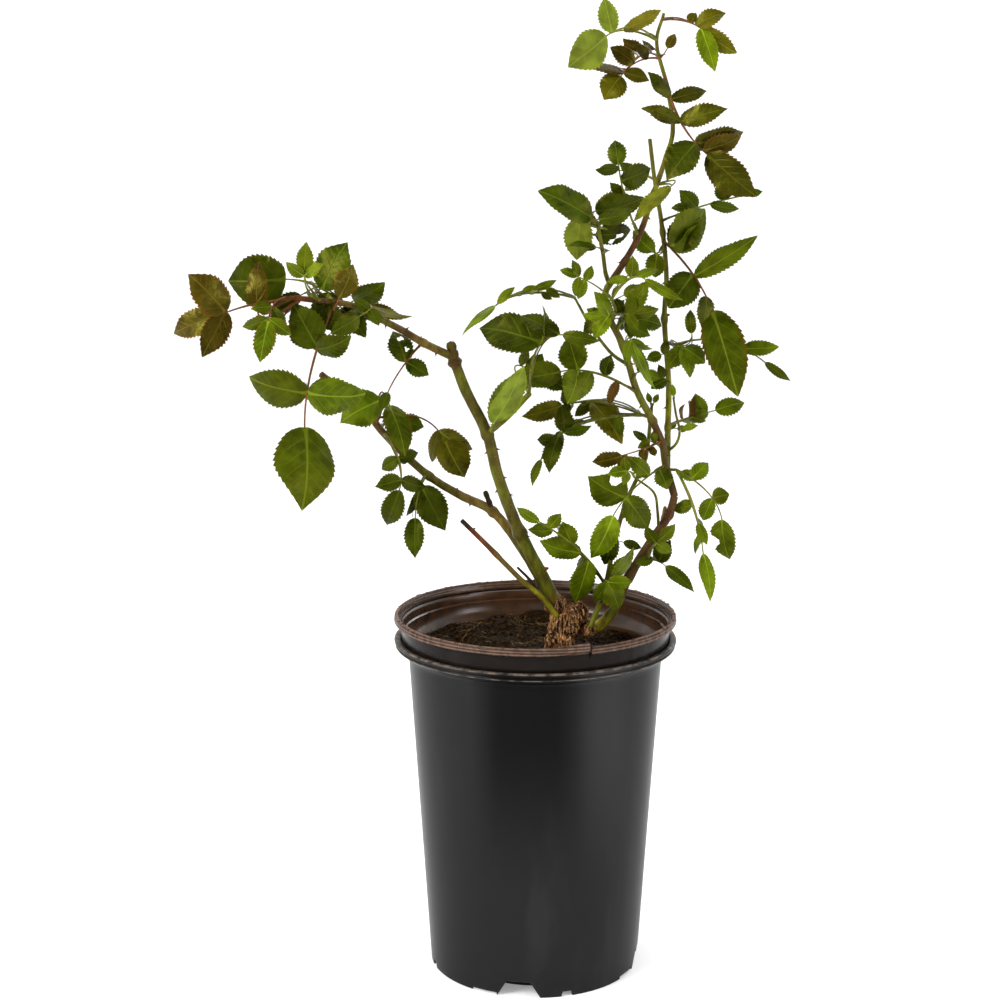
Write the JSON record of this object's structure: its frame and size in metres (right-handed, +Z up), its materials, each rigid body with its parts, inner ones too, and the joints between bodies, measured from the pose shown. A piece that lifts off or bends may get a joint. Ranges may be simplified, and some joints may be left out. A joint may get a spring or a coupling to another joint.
{
  "type": "potted rose bush",
  "caption": "Young rose bush with thorny canes and open compound leaves, in two nested round nursery pots.",
  "frame": {"origin": "centre of the outer pot's flat underside, where it stands", "axes": "+Z up, +X to the right and +Y away from the viewer in the front view"},
  "size_m": [0.4652, 0.262, 0.7444],
  "materials": {
    "pot_outer_plastic": "satin black moulded plastic",
    "pot_inner_plastic": "dusty black plastic, brown with dried compost",
    "compost": "matt, moist, fibrous",
    "old_bark": "matt, rough, flaking",
    "cane_bark": "satin, smooth between prickles",
    "leaf": "semi-gloss above, matt below"
  },
  "bodies": {
    "root": {"cane_arch": "cane_bark", "cane_crown": "cane_bark", "cane_cut": "cane_bark", "cane_inner": "cane_bark", "cane_left": "cane_bark", "cane_low_left": "cane_bark", "cane_right_lower": "cane_bark", "cane_right_upper": "cane_bark", "cane_spine": "cane_bark", "foliage_arch": "leaf", "foliage_centre": "leaf", "foliage_crown_left": "leaf", "foliage_crown_top": "leaf", "foliage_low_left": "leaf", "foliage_middle": "leaf", "foliage_plume": "leaf", "foliage_spine": "leaf", "pot_inner": "pot_inner_plastic", "pot_outer": "pot_outer_plastic", "rootstock": "old_bark", "shoot_fork": "leaf", "shoot_small": "leaf", "soil": "compost", "spray_arch": "leaf", "spray_big_low": "leaf", "spray_bronze_low": "leaf", "spray_crown_inner": "leaf", "spray_foot": "leaf", "spray_inner_low": "leaf", "spray_inner_tip": "leaf", "spray_inside_right": "leaf", "spray_low_right": "leaf", "spray_middle_low": "leaf", "spray_middle_right": "leaf", "spray_outer_low": "leaf", "spray_right_foot": "leaf", "spray_under": "leaf", "twig_dead": "cane_bark"}
  },
  "joints": []
}
